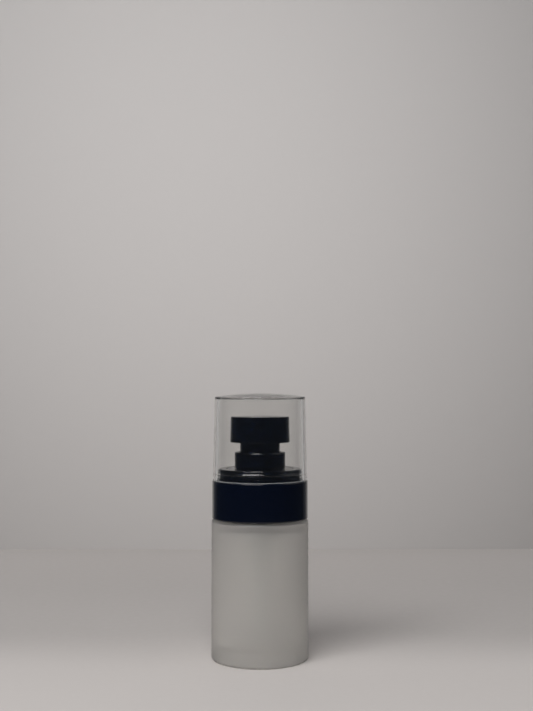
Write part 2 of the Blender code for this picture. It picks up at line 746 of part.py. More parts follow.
def make_check_ball(glass):
    mesh = bpy.data.meshes.new("check_ball")
    bm = bmesh.new()
    bmesh.ops.create_icosphere(bm, subdivisions=2, radius=BALL_RADIUS)
    bm.to_mesh(mesh)
    bm.free()
    return place(new_object("check_ball", mesh, glass), ball_level)


def make_dip_tube(natural):
    """A tube whose foot is cut at a slant, so that it can't close against the bottle's floor."""
    length = tube_top - tube_bottom
    bore = TUBE_RADIUS - TUBE_WALL
    corners = [(TUBE_RADIUS, length), (TUBE_RADIUS, 0), (bore, 0), (bore, length)]
    tube = place(turned("dip_tube", rounded(corners), natural, INNER_SIDES), tube_bottom)
    reach = 4 * TUBE_RADIUS
    tool = block("slant_cut_tool", (-reach, -reach, -reach), (reach, reach, 0))
    tool.location.x = -TUBE_RADIUS
    tool.rotation_euler.y = -TUBE_CUT_ANGLE
    combine(tube, tool, "DIFFERENCE")
    return tube


def make_overcap(clear):
    """A drafted cap with a low dome, and a low bead inside, level with the seat ring's first groove."""
    bottom = seat_bottom
    top_radius = overcap_radius - OVERCAP_DRAFT
    dome = [
        (top_radius * share, overcap_top - OVERCAP_DOME_RISE * share**2)
        for share in (0, 1 / 3, 2 / 3)
    ]
    inner_foot = overcap_radius - OVERCAP_WALL
    bead_level = deck_top - SNAP_GROOVE_DROP
    bead_radius = inner_foot - OVERCAP_BEAD_PROUD
    slope = OVERCAP_DRAFT / (ceiling - bottom)
    bead_base = inner_foot - slope * (bead_level - bottom)
    corners = dome + [
        (top_radius, overcap_top - OVERCAP_DOME_RISE, OVERCAP_EDGE),
        (overcap_radius, bottom, OVERCAP_RIM_EDGE),
        (inner_foot, bottom, OVERCAP_RIM_EDGE),
        (bead_base, bead_level - OVERCAP_BEAD_HEIGHT / 2),
        (bead_radius, bead_level),
        (bead_base, bead_level + OVERCAP_BEAD_HEIGHT / 2),
        (top_radius - OVERCAP_WALL, ceiling, OVERCAP_INNER_EDGE),
        (0, ceiling),
    ]
    outline = rounded(from_levels(bottom, corners), closed=False)
    return place(turned("overcap", outline, clear, OUTER_SIDES, closed=False), bottom)


def carrier(name, parent, pieces):
    """An empty on the common axis that carries the pieces which move together."""
    empty = bpy.data.objects.new(name, None)
    empty.empty_display_size = BOTTLE_RADIUS
    bpy.context.scene.collection.objects.link(empty)
    empty.parent = parent
    for piece in pieces:
        piece.parent = empty
    return empty


def main():
    clear_scene()
    frosted_glass = principled("frosted_glass", (0.62, 0.64, 0.62), 0.45, transmission=0.9)
    clear_plastic = principled("clear_plastic", (0.95, 0.95, 0.95), 0.03, transmission=1.0)
    gloss_black = principled("gloss_black", (0.008, 0.009, 0.012), 0.12)
    moulded_black = principled("moulded_black", (0.012, 0.012, 0.014), 0.35)
    natural = principled("natural_plastic", (0.82, 0.83, 0.81), 0.35, transmission=0.4)
    seal_plastic = principled("seal_plastic", (0.88, 0.88, 0.86), 0.5)
    gasket_foam = principled("gasket_foam", (0.86, 0.86, 0.84), 0.7)
    steel = principled("spring_steel", (0.62, 0.62, 0.64), 0.25, metallic=1.0)
    ball_glass = principled("ball_glass", (0.9, 0.95, 0.93), 0.02, transmission=1.0)

    bottle = carrier("bottle_base", None, [make_bottle(frosted_glass)])
    core = carrier(
        "pump_core",
        bottle,
        [
            make_neck_gasket(gasket_foam),
            make_pump_housing(natural),
            make_stem_guide(natural),
            make_ball_retainer(natural),
            make_dip_tube(natural),
            make_return_spring(steel),
        ],
    )
    carrier("inlet_valve", core, [make_check_ball(ball_glass)])
    plunger = carrier("plunger", core, [make_stem(natural), make_piston_rod(natural)])
    carrier("piston", plunger, [make_piston_seal(seal_plastic)])
    carrier("pump_head", plunger, [make_actuator(gloss_black), make_nozzle_insert(moulded_black)])
    closure = carrier(
        "closure_set",
        core,
        [
            make_screw_closure(moulded_black),
            make_collar(gloss_black),
            make_cap_seat_ring(gloss_black),
            make_ferrule(gloss_black),
        ],
    )
    carrier("cap", closure, [make_overcap(clear_plastic)])


main()
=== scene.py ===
"""The looks of a 30 ml serum bottle: frosted glass, a gloss black pump and a clear overcap.

Every piece is made afresh, finer than the solid that it replaces. Outer sizes and levels are read from
the frame, and the walls, fillets and small details are named below. Lengths are in metres.
"""

import json
import math

import bmesh
import bpy
from mathutils import Matrix, Vector


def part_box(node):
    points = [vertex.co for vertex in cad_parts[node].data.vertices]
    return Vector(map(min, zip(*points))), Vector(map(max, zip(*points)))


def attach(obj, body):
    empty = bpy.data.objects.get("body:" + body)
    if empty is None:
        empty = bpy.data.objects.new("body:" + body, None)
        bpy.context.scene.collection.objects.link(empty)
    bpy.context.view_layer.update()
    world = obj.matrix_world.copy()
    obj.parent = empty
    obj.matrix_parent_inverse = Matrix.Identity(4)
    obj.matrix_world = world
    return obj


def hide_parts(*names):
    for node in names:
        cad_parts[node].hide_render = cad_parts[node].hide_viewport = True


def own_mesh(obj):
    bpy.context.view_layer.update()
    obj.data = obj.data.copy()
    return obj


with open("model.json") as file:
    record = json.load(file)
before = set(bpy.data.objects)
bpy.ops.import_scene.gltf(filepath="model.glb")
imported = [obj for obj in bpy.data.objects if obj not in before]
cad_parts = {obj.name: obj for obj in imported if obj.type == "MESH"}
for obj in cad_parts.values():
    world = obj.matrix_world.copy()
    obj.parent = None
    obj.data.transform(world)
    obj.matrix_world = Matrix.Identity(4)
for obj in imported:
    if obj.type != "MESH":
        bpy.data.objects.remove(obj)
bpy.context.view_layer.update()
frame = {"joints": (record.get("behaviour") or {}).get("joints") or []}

MM = 0.001

# How finely round forms are divided
SIDES = 144
SMALL_SIDES = 64
FILLET_ANGLE = math.radians(11)
SPRING_BEVEL_STEPS = 4
BALL_SUBDIVISIONS = 4

# The most of an edge that a fillet takes, how far the points past it stand off, and what stays a sharp edge
MOST_OF_EDGE = 0.48
FLAT_MARGIN = 0.1 * MM
FLAT_MARGIN_SHARE = 0.01
SHARP_ANGLE = math.radians(32)

# Clearances, and how much higher than its solid the overcap's foot is, as in the photograph
SEAT_GAP = 0.3 * MM
RUNNING_GAP = 0.3 * MM
BOSS_TO_GUIDE = 0.5 * MM
CAP_STAND_GAP = 0.1 * MM
CAP_STAND_LIFT = 0.25 * MM

# Glass bottle
GLASS_WALL = 2.3 * MM
BASE_THICKNESS = 4.8 * MM
SHOULDER_THICKNESS = 2.4 * MM
HEEL_FILLET = 1.0 * MM
SHOULDER_FILLET = 1.0 * MM
# The band round the shoulder's fillet whose satin glass is painted darker, as the collar's shade
SHADED_SATIN_BAND = 0.7 * MM
CAVITY_FILLET = 2.2 * MM
PUNT_DEPTH = 0.6 * MM
PUNT_SLOPE_WIDTH = 1.6 * MM
REST_RING_WIDTH = 2.4 * MM
NECK_WALL = 2.2 * MM
NECK_FILLET = 0.5 * MM

# Places in the bottle's list of glass
POLISHED = 1
SHADED_SATIN = 2

# Painted shade: the frosted glass is a little darker above than near its foot
FROST_EDGES = (4 * MM, 36 * MM)
FROST_SHADE = 0.92

# Screw thread, on the neck and in the closure
THREAD_PITCH = 3.175 * MM
THREAD_DEPTH = 1.1 * MM
THREAD_WIDTH = 1.5 * MM
THREAD_START = 5.0 * MM
THREAD_TURNS = 1.5
THREAD_RUN_OUT = math.radians(25)
THREAD_FLANK = 0.55
THREAD_ROW = 0.2 * MM
CLOSURE_THREAD_DEPTH = 0.9 * MM
CLOSURE_THREAD_WIDTH = 1.2 * MM

# Collar, closure and ring. The drops, heights and chamfers are the two snap grooves', upper first
COLLAR_WALL = 1.5 * MM
COLLAR_TOP_THICKNESS = 1.3 * MM
COLLAR_HUB_WALL = 1.1 * MM
COLLAR_HUB_LENGTH = 8.0 * MM
COLLAR_EDGE = 0.35 * MM
CLOSURE_WALL = 1.7 * MM
DECK_THICKNESS = 1.6 * MM
DECK_GROOVE_DEPTH = 0.8 * MM
MOULDED_EDGE = 0.3 * MM
CAP_SEAT_WALL = 1.3 * MM
CAP_SEAT_TOP_THICKNESS = 1.0 * MM
DECK_EDGE = 0.65 * MM
SNAP_NECK_DEPTH = 0.205 * MM
SNAP_RAMP_DROP = 1.1 * MM
SNAP_GROOVE_DEPTH = 0.9 * MM
SNAP_GROOVE_DROPS = (1.5 * MM, 2.45 * MM)
SNAP_GROOVE_HEIGHTS = (0.5 * MM, 0.5 * MM)
SNAP_CHAMFER_WIDTHS = (0.16 * MM, 0.12 * MM)
SNAP_CHAMFER_HEIGHTS = (0.14 * MM, 0.1 * MM)
SNAP_LIP_EDGE = 0.06 * MM
GROOVE_EDGE = 0.08 * MM

# Ferrule
FERRULE_WALL = 1.65 * MM
FERRULE_SPIGOT_WALL = 0.9 * MM
FERRULE_EDGE = 0.6 * MM

# Push button
HEAD_HEIGHT = 9.3 * MM
HEAD_DRAFT = 0.22 * MM
HEAD_WALL = 1.4 * MM
HEAD_ROOF = 1.5 * MM
HEAD_EDGE = 0.3 * MM
FINGER_DISH_RADIUS = 8.8 * MM
FINGER_DISH_DEPTH = 0.35 * MM
FINGER_DISH_STEPS = 16
SKIRT_RADIUS = 7.25 * MM
SKIRT_WALL = 1.2 * MM
BOSS_WALL = 1.3 * MM
NOZZLE_HOLE_RADIUS = 0.35 * MM
NOZZLE_CONE_DEPTH = 0.7 * MM
NOZZLE_EDGE = 0.15 * MM
NOZZLE_RIM_WIDTH = 0.2 * MM
DUCT_WALL = 1.0 * MM
DUCT_OVERLAP = 0.4 * MM
CHANNEL_RADIUS = 0.6 * MM
RISER_RADIUS = 0.8 * MM

# Pump
FLANGE_THICKNESS = 1.2 * MM
HOUSING_WALL = 1.0 * MM
HOUSING_TAPER_HEIGHT = 2.6 * MM
HOUSING_FILLET = 0.8 * MM
VENT_RADIUS = 0.5 * MM
VENT_DROP = 2.2 * MM
GUIDE_FLANGE_THICKNESS = 1.3 * MM
GUIDE_WALL = 1.4 * MM
STEM_WALL = 0.7 * MM
PORT_WIDTH = 0.8 * MM
PORT_HEIGHT = 0.9 * MM
PISTON_WAIST_DEPTH = 0.8 * MM
PISTON_LIP_HEIGHT = 0.9 * MM
PISTON_HOLLOW_DEPTH = 1.4 * MM
PISTON_SLEEVE_WALL = 0.9 * MM
ROD_FOOT_THICKNESS = 1.2 * MM
ROD_PIN_LENGTH = 2.2 * MM
ROD_PIN_RADIUS = 2.6 * MM
SPRING_WIRE_RADIUS = 0.3 * MM
SPRING_TURNS = 7
SPRING_END_RISE = 1.05 * MM
SPRING_POINTS_A_TURN = 32
CAGE_TOP_THICKNESS = 1.0 * MM
CAGE_WALL = 1.0 * MM
CAGE_SLOTS = 4
CAGE_SLOT_RADIUS = 0.7 * MM
CAGE_SLOT_CIRCLE_RADIUS = 2.0 * MM
BALL_POCKET_GAP = 0.6 * MM
INLET_RADIUS = 0.9 * MM
INLET_WEB = 1.0 * MM
TUBE_WALL = 0.6 * MM
TUBE_SOCKET_WALL = 1.0 * MM
TUBE_CUT_ANGLE = math.radians(40)

# Overcap
OVERCAP_WALL = 1.4 * MM
OVERCAP_DRAFT = 0.65 * MM
OVERCAP_TOP_THICKNESS = 1.8 * MM
OVERCAP_DOME_RISE = 1.25 * MM
OVERCAP_DOME_STEPS = 24
OVERCAP_EDGE = 0.55 * MM
OVERCAP_INNER_EDGE = 0.4 * MM
OVERCAP_RIM_EDGE = 0.15 * MM
OVERCAP_BEAD_PROUD = 0.03 * MM
OVERCAP_BEAD_HEIGHT = 0.5 * MM


def radius_of(node):
    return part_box(node)[1].x


def bottom_of(node):
    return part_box(node)[0].z


def top_of(node):
    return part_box(node)[1].z


# Sizes and levels that several pieces share
shoulder = bottom_of("collar") - SEAT_GAP
neck_radius = radius_of("neck_gasket")
neck_bore = neck_radius - NECK_WALL
stand_level = bottom_of("overcap") + CAP_STAND_LIFT
deck_top = top_of("cap_seat_ring")
deck_bottom = deck_top - DECK_THICKNESS
hub_bore = radius_of("screw_closure") + SEAT_GAP
ferrule_bore = SKIRT_RADIUS + RUNNING_GAP
stem_radius = radius_of("stem")
stem_bore = stem_radius - STEM_WALL
guide_bore = stem_radius + RUNNING_GAP
plug_radius = radius_of("piston_seal")
chamber_radius = plug_radius + RUNNING_GAP
housing_radius = chamber_radius + HOUSING_WALL
ball_radius = radius_of("check_ball")
tube_radius = radius_of("dip_tube")
flange_top = top_of("pump_housing")
head_radius = radius_of("actuator")
head_top = top_of("actuator")
head_bottom = head_top - HEAD_HEIGHT
nozzle_low, nozzle_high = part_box("nozzle_insert")
nozzle_level = (nozzle_low.z + nozzle_high.z) / 2
nozzle_radius = nozzle_high.x
nozzle_length = nozzle_high.y - nozzle_low.y
travel = {joint["name"]: joint.get("range_m") for joint in frame["joints"]}
stroke = travel["actuator_press"][1]

# Camera, as fitted to the photograph's 533 x 711 frame
FRAME_HEIGHT_PIXELS = 711
FOCAL_PIXELS = 1100
SENSOR_HEIGHT = 36
CAMERA_DISTANCE = 0.4
CAMERA_HEIGHT = 0.099
CAMERA_PITCH = 1.45
CAMERA_YAW = 0.34
CAMERA_CLIP = 0.01

# Grain: the noise's detail, and the levels between which it changes the roughness
GRAIN_DETAIL = 3
GRAIN_ENDS = (0.3, 0.7)

# Stage
STAGE_RADIUS = 0.33
STAGE_SIDES = 48
WALL_DISTANCE = 0.26
WALL_HEIGHT = 1.0
FLOOR_COLOUR = (0.53, 0.497, 0.477)
# The floor's painted light and shade: a fade to one side, painted shade behind the bottle, and painted
# light near the wall
FLOOR_SIDE_PAINTED_FADE = -0.1
FLOOR_SHADE_EDGES = (-0.02, 0.045)
FLOOR_SHADE = 0.78
FLOOR_FAR_EDGES = (0.12, 0.25)
FLOOR_FAR_PAINTED_LIGHT = 1.1
WALL_COLOUR = (0.645, 0.615, 0.598)
# The wall's painted light: its palest place, and how fast it darkens round it
WALL_PAINTED_LIGHT_PEAK = Vector((-0.022, WALL_DISTANCE, 0.195))
WALL_PAINTED_FALLOFF = 6.8
STAGE_GRAIN = 3 * MM
STAGE_GRAIN_CONTRAST = 1.03
STAGE_RELIEF = 0.02 * MM
STAGE_ROUGHNESS = (0.65, 0.8)

# Room. A direction's depth plus this share of its height decides how pale the room is there
ROOM_COLOUR = (0.034, 0.038, 0.046)
SKY_COLOUR = (0.25, 0.25, 0.255)
ROOM_EDGES = (0.45, 0.95)
SKY_LIFT = 0.9
SEEN_COLOUR = (0.45, 0.44, 0.435)
NO_REFLECTION = 0.5
ONE_WALL = 2.5
STRAIGHT_BEHIND = 0.5

# Soft boxes: azimuth and elevation in degrees, then distance, width, height and radiance
KEY_SOFTBOX = (-23, 50, 1.1, 0.88, 0.5, 8.7)
LEFT_WINDOW = (-55, 36, 1.3, 1.0, 0.9, 0.3)
RIGHT_FILL = (85, 25, 1.2, 1.0, 0.9, 0.6)
LIGHT_TARGET = Vector((0, 0, 0.05))


def rounded(corners, closed=True):
    """The outline through these corners, each (r, z) or (r, z, fillet), with its fillets as fine arcs.

    A point a little past each end of an arc keeps the shading of the straight stretch beside it flat.
    """
    points = []
    for i, (r, z, *fillet) in enumerate(corners):
        corner = Vector((r, z))
        is_end = not closed and i in (0, len(corners) - 1)
        if not fillet or is_end:
            points.append(corner)
            continue
        before = Vector(corners[i - 1][:2]) - corner
        after = Vector(corners[(i + 1) % len(corners)][:2]) - corner
        half_angle = before.angle(after) / 2
        longest = MOST_OF_EDGE * min(before.length, after.length)
        reach = min(fillet[0] / math.tan(half_angle), longest)
        radius = reach * math.tan(half_angle)
        towards = (before.normalized() + after.normalized()).normalized()
        centre = corner + towards * radius / math.sin(half_angle)
        first = corner + before.normalized() * reach - centre
        last = corner + after.normalized() * reach - centre
        sweep = first.angle(last)
        steps = max(math.ceil(sweep / FILLET_ANGLE), 2)
        arc = []
        for step in range(steps + 1):
            share = step / steps
            spoke = first * math.sin((1 - share) * sweep) + last * math.sin(share * sweep)
            arc.append(centre + spoke / math.sin(sweep))
        margins = [min(FLAT_MARGIN, FLAT_MARGIN_SHARE * side.length) for side in (before, after)]
        ahead = corner + before.normalized() * (reach + margins[0])
        behind = corner + after.normalized() * (reach + margins[1])
        points += [ahead, *arc, behind]
    return points


def new_piece(name, bm, *materials):
    mesh = bpy.data.meshes.new(name)
    bm.to_mesh(mesh)
    bm.free()
    piece = bpy.data.objects.new(name, mesh)
    bpy.context.scene.collection.objects.link(piece)
    for material in materials:
        mesh.materials.append(material)
    return smooth(piece)


def smooth(piece):
    piece.data.shade_smooth()
    piece.data.set_sharp_from_angle(angle=SHARP_ANGLE)
    return piece


def turned(name, outline, materials, sides=SIDES, closed=True, radius_at=None):
    """A solid turned about Z. A closed outline makes a ring, and an open one starts and ends on the axis.

    radius_at(angle, r, z) may shift a point in or out, as on a screw thread.
    """
    bm = bmesh.new()
    rings = []
    for r, z in outline:
        if r == 0:
            rings.append([bm.verts.new((0, 0, z))])
            continue
        ring = []
        for side in range(sides):
            angle = math.tau * side / sides
            radius = radius_at(angle, r, z) if radius_at else r
            ring.append(bm.verts.new((radius * math.cos(angle), radius * math.sin(angle), z)))
        rings.append(ring)
    pairs = list(zip(rings, rings[1:]))
    if closed:
        pairs.append((rings[-1], rings[0]))
    for first, second in pairs:
        for side in range(sides):
            after = (side + 1) % sides
            if len(first) == 1:
                bm.faces.new((first[0], second[side], second[after]))
            elif len(second) == 1:
                bm.faces.new((first[side], second[0], first[after]))
            else:
                bm.faces.new((first[side], second[side], second[after], first[after]))
    bmesh.ops.recalc_face_normals(bm, faces=bm.faces)
    return new_piece(name, bm, *materials)


def rod(radius, start, end):
    """A round bar between two points, used as a tool that cuts or joins."""
    along = Vector(end) - Vector(start)
    bm = bmesh.new()
    bmesh.ops.create_cone(
        bm, cap_ends=True, segments=SMALL_SIDES, radius1=radius, radius2=radius, depth=along.length
    )
    turn = along.to_track_quat("Z", "Y").to_matrix().to_4x4()
    middle = Matrix.Translation((Vector(start) + Vector(end)) / 2)
    bmesh.ops.transform(bm, matrix=middle @ turn, verts=bm.verts)
    return new_piece("tool", bm)


def block(low, high, turn=Matrix.Identity(4)):
    """A box between two corners, turned about the origin, used as a tool that cuts or joins."""
    size = Vector(high) - Vector(low)
    middle = Matrix.Translation((Vector(high) + Vector(low)) / 2)
    bm = bmesh.new()
    bmesh.ops.create_cube(bm, size=1)
    bmesh.ops.transform(bm, matrix=turn @ middle @ Matrix.Diagonal((*size, 1)), verts=bm.verts)
    return new_piece("tool", bm)


def combine(piece, tool, operation):
    """Cuts the tool from the piece, or joins it, for good."""
    modifier = piece.modifiers.new("combine", "BOOLEAN")
    modifier.operation = operation
    modifier.solver = "EXACT"
    modifier.object = tool
    evaluated = piece.evaluated_get(bpy.context.evaluated_depsgraph_get())
    piece.data = bpy.data.meshes.new_from_object(evaluated)
    piece.modifiers.clear()
    bpy.data.objects.remove(tool)
    smooth(piece)


def seat(piece, body, slot, *nodes):
    """Lets the piece ride on its body, in place of these nodes. The slot is not used."""
    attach(piece, body)
    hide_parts(*nodes)


def thread_ridge(angle, z, start, depth, width):
    """How far a right-hand thread stands out at this angle and level."""
    highest = 0
    for turn in range(math.ceil(THREAD_TURNS)):
        sweep = angle + math.tau * turn
        to_end = min(sweep, THREAD_TURNS * math.tau - sweep)
        across = 1 - abs(z - start - THREAD_PITCH * sweep / math.tau) / (width / 2)
        if to_end < 0 or across < 0:
            continue
        height = depth * min(1, across / THREAD_FLANK) * min(1, to_end / THREAD_RUN_OUT)
        highest = max(highest, height)
    return highest


def rows(radius, low, high):
    """Points along an upright stretch of outline, close enough to carry a thread."""
    steps = round(abs(high - low) / THREAD_ROW)
    return [(radius, low + (high - low) * step / steps) for step in range(steps + 1)]


def make_bottle(glass):
    """Frosted outside, polished inside, and smoother round the shoulder's fillet under the collar, where
    its colour is painted darker as the collar's shade.
    """
    radius = radius_of("bottle")
    top = top_of("bottle")
    cavity = radius - GLASS_WALL
    cavity_top = shoulder - SHOULDER_THICKNESS
    punt = radius - HEEL_FILLET - REST_RING_WIDTH
    thread_low = shoulder + THREAD_START - THREAD_WIDTH
    thread_high = thread_low + THREAD_PITCH * THREAD_TURNS + 2 * THREAD_WIDTH
    corners = [
        (0, PUNT_DEPTH),
        (punt - PUNT_SLOPE_WIDTH, PUNT_DEPTH, PUNT_SLOPE_WIDTH),
        (punt, 0, PUNT_SLOPE_WIDTH),
        (radius, 0, HEEL_FILLET),
        (radius, shoulder, SHOULDER_FILLET),
        (neck_radius, shoulder, NECK_FILLET),
        *rows(neck_radius, thread_low, thread_high),
        (neck_radius, top, NECK_FILLET),
        (neck_bore, top, NECK_FILLET),
        (neck_bore, cavity_top, NECK_FILLET),
        (cavity, cavity_top, CAVITY_FILLET),
        (cavity, BASE_THICKNESS, CAVITY_FILLET),
        (0, BASE_THICKNESS),
    ]

    def radius_at(angle, r, z):
        if r < neck_radius or not thread_low <= z <= thread_high or r > neck_radius + THREAD_ROW:
            return r
        return r + thread_ridge(angle, z, shoulder + THREAD_START, THREAD_DEPTH, THREAD_WIDTH)

    bottle = turned(
        "glass_bottle", rounded(corners, closed=False), glass, closed=False, radius_at=radius_at
    )
    for face in bottle.data.polygons:
        x, y, z = face.center
        from_axis = math.hypot(x, y)
        in_neck = from_axis < neck_bore + NECK_FILLET
        in_cavity = from_axis < cavity + SEAT_GAP and z < cavity_top + SEAT_GAP
        if (in_neck or in_cavity) and z > BASE_THICKNESS - SEAT_GAP:
            face.material_index = POLISHED
        # The band under the collar gets satin glass whose colour is painted darker, as the collar's shade
        elif shoulder - SHADED_SATIN_BAND < z < shoulder + SEAT_GAP:
            face.material_index = SHADED_SATIN
    seat(bottle, "bottle", "frosted_glass", "bottle")


def make_collar(gloss_black):
    radius = radius_of("collar")
    bottom = bottom_of("collar")
    top = stand_level - CAP_STAND_GAP
    underside = top - COLLAR_TOP_THICKNESS
    hub_radius = hub_bore + COLLAR_HUB_WALL
    corners = [
        (radius, top, COLLAR_EDGE),
        (radius, bottom, COLLAR_EDGE),
        (radius - COLLAR_WALL, bottom, GROOVE_EDGE),
        (radius - COLLAR_WALL, underside, MOULDED_EDGE),
        (hub_radius, underside, MOULDED_EDGE),
        (hub_radius, underside - COLLAR_HUB_LENGTH, MOULDED_EDGE),
        (hub_bore, underside - COLLAR_HUB_LENGTH, MOULDED_EDGE),
        (hub_bore, top, GROOVE_EDGE),
    ]
    collar = turned("collar_sleeve", rounded(corners), [gloss_black])
    seat(collar, "closure_set", "gloss_black", "collar")


def make_screw_closure(black):
    radius = radius_of("screw_closure")
    bottom = bottom_of("screw_closure")
    bore = radius - CLOSURE_WALL
    hole = radius_of("stem_guide") + SEAT_GAP
    groove_inner = ferrule_bore - SEAT_GAP
    groove_outer = ferrule_bore + FERRULE_SPIGOT_WALL + SEAT_GAP
    groove_floor = deck_top - DECK_GROOVE_DEPTH
    thread_start = shoulder + THREAD_START + THREAD_PITCH / 2
    thread_low = thread_start - THREAD_WIDTH
    thread_high = thread_start + THREAD_PITCH * THREAD_TURNS + THREAD_WIDTH
    corners = [
        (radius, deck_top, MOULDED_EDGE),
        (radius, bottom, MOULDED_EDGE),
        (bore, bottom, MOULDED_EDGE),
        *rows(bore, thread_low, thread_high),
        (bore, deck_bottom, MOULDED_EDGE),
        (hole, deck_bottom, GROOVE_EDGE),
        (hole, deck_top, GROOVE_EDGE),
        (groove_inner, deck_top, GROOVE_EDGE),
        (groove_inner, groove_floor, GROOVE_EDGE),
        (groove_outer, groove_floor, GROOVE_EDGE),
        (groove_outer, deck_top, GROOVE_EDGE),
    ]

    def radius_at(angle, r, z):
        if abs(r - bore) > GROOVE_EDGE or not thread_low <= z <= thread_high:
            return r
        return r - thread_ridge(angle, z, thread_start, CLOSURE_THREAD_DEPTH, CLOSURE_THREAD_WIDTH)

    closure = turned("closure_cap", rounded(corners), [black], radius_at=radius_at)
    seat(closure, "closure_set", "moulded_black", "screw_closure")


def make_cap_seat_ring(gloss_black):
    radius = radius_of("cap_seat_ring")
    bottom = stand_level
    hub_radius = hub_bore + COLLAR_HUB_WALL
    ceiling = deck_top - CAP_SEAT_TOP_THICKNESS
    corners = [
        (radius - SNAP_NECK_DEPTH, deck_top, DECK_EDGE),
        (radius - SNAP_NECK_DEPTH, deck_top - SNAP_RAMP_DROP, GROOVE_EDGE),
    ]
    chamfers = zip(SNAP_CHAMFER_WIDTHS, SNAP_CHAMFER_HEIGHTS)
    for drop, height, chamfer in zip(SNAP_GROOVE_DROPS, SNAP_GROOVE_HEIGHTS, chamfers):
        level = deck_top - drop
        corners += [
            (radius, level),
            (radius - SNAP_GROOVE_DEPTH, level, GROOVE_EDGE),
            (radius - SNAP_GROOVE_DEPTH, level - height, GROOVE_EDGE),
            (radius - chamfer[0], level - height, SNAP_LIP_EDGE),
            (radius, level - height - chamfer[1], SNAP_LIP_EDGE),
        ]
    corners += [
        (radius, bottom, GROOVE_EDGE),
        (radius - CAP_SEAT_WALL, bottom, GROOVE_EDGE),
        (radius - CAP_SEAT_WALL, ceiling, MOULDED_EDGE),
        (hub_radius, ceiling, MOULDED_EDGE),
        (hub_radius, bottom, GROOVE_EDGE),
        (hub_bore, bottom, GROOVE_EDGE),
        (hub_bore, deck_top, GROOVE_EDGE),
    ]
    ring = turned("snap_ring", rounded(corners), [gloss_black])
    seat(ring, "closure_set", "gloss_black", "cap_seat_ring")


def make_ferrule(gloss_black):
    radius = ferrule_bore + FERRULE_WALL
    top = top_of("ferrule")
    spigot_bottom = bottom_of("ferrule")
    foot = deck_top + SEAT_GAP
    corners = [
        (radius, top, FERRULE_EDGE),
        (radius, foot, GROOVE_EDGE),
        (ferrule_bore + FERRULE_SPIGOT_WALL, foot, GROOVE_EDGE),
        (ferrule_bore + FERRULE_SPIGOT_WALL, spigot_bottom, GROOVE_EDGE),
        (ferrule_bore, spigot_bottom, GROOVE_EDGE),
        (ferrule_bore, top, FERRULE_EDGE),
    ]
    ferrule = turned("ferrule_tower", rounded(corners), [gloss_black])
    seat(ferrule, "closure_set", "gloss_black", "ferrule")


def make_button(gloss_black):
    """Roof, side wall, skirt and stem socket turned in one, with a duct from the socket to the nozzle."""
    roof_underside = head_top - HEAD_ROOF
    wall_inner = head_radius - HEAD_DRAFT - HEAD_WALL
    skirt_inner = SKIRT_RADIUS - SKIRT_WALL
    skirt_bottom = bottom_of("actuator")
    socket_bore = stem_radius + SEAT_GAP
    socket_top = top_of("stem") + SEAT_GAP
    boss_radius = socket_bore + BOSS_WALL
    boss_bottom = top_of("stem_guide") + BOSS_TO_GUIDE + stroke
    dish = []
    for step in range(FINGER_DISH_STEPS):
        share = step / FINGER_DISH_STEPS
        dish.append((FINGER_DISH_RADIUS * share, head_top - FINGER_DISH_DEPTH * (1 - share**2)))
    corners = dish + [
        (FINGER_DISH_RADIUS, head_top, HEAD_EDGE),
        (head_radius - HEAD_DRAFT, head_top, HEAD_EDGE),
        (head_radius, head_bottom, HEAD_EDGE),
        (wall_inner, head_bottom, MOULDED_EDGE),
        (wall_inner, roof_underside, MOULDED_EDGE),
        (SKIRT_RADIUS, roof_underside, MOULDED_EDGE),
        (SKIRT_RADIUS, skirt_bottom, HEAD_EDGE),
        (skirt_inner, skirt_bottom, MOULDED_EDGE),
        (skirt_inner, roof_underside, MOULDED_EDGE),
        (boss_radius, roof_underside, MOULDED_EDGE),
        (boss_radius, boss_bottom, MOULDED_EDGE),
        (socket_bore, boss_bottom, MOULDED_EDGE),
        (socket_bore, socket_top),
        (0, socket_top),
    ]
    button = turned("push_button", rounded(corners, closed=False), [gloss_black], closed=False)
    pocket_radius = nozzle_radius + SEAT_GAP
    duct_half = pocket_radius + DUCT_WALL
    duct = block(
        (-duct_half, -wall_inner - DUCT_OVERLAP, nozzle_level - duct_half),
        (duct_half, -boss_radius + DUCT_OVERLAP, roof_underside + DUCT_OVERLAP),
    )
    combine(button, duct, "UNION")
    pocket_floor = (0, nozzle_high.y + SEAT_GAP, nozzle_level)
    outside = (0, -2 * head_radius, nozzle_level)
    combine(button, rod(pocket_radius, pocket_floor, outside), "DIFFERENCE")
    combine(button, rod(CHANNEL_RADIUS, (0, 0, nozzle_level), outside), "DIFFERENCE")
    riser_bottom = (0, 0, socket_top - RISER_RADIUS)
    combine(button, rod(RISER_RADIUS, riser_bottom, (0, 0, nozzle_level)), "DIFFERENCE")
    seat(button, "pump_head", "gloss_black", "actuator")


def make_nozzle(black):
    """Turned about its own Z axis and laid along Y, its open cone outwards."""
    corners = [
        (NOZZLE_HOLE_RADIUS, 0, GROOVE_EDGE),
        (nozzle_radius, 0, GROOVE_EDGE),
        (nozzle_radius, nozzle_length, NOZZLE_EDGE),
        (nozzle_radius - NOZZLE_RIM_WIDTH, nozzle_length, GROOVE_EDGE),
        (NOZZLE_HOLE_RADIUS, nozzle_length - NOZZLE_CONE_DEPTH, GROOVE_EDGE),
    ]
    nozzle = turned("nozzle", rounded(corners), [black], SMALL_SIDES)
    nozzle.rotation_euler.x = math.pi / 2
    nozzle.location = (0, nozzle_high.y, nozzle_level)
    seat(nozzle, "pump_head", "moulded_black", "nozzle_insert")


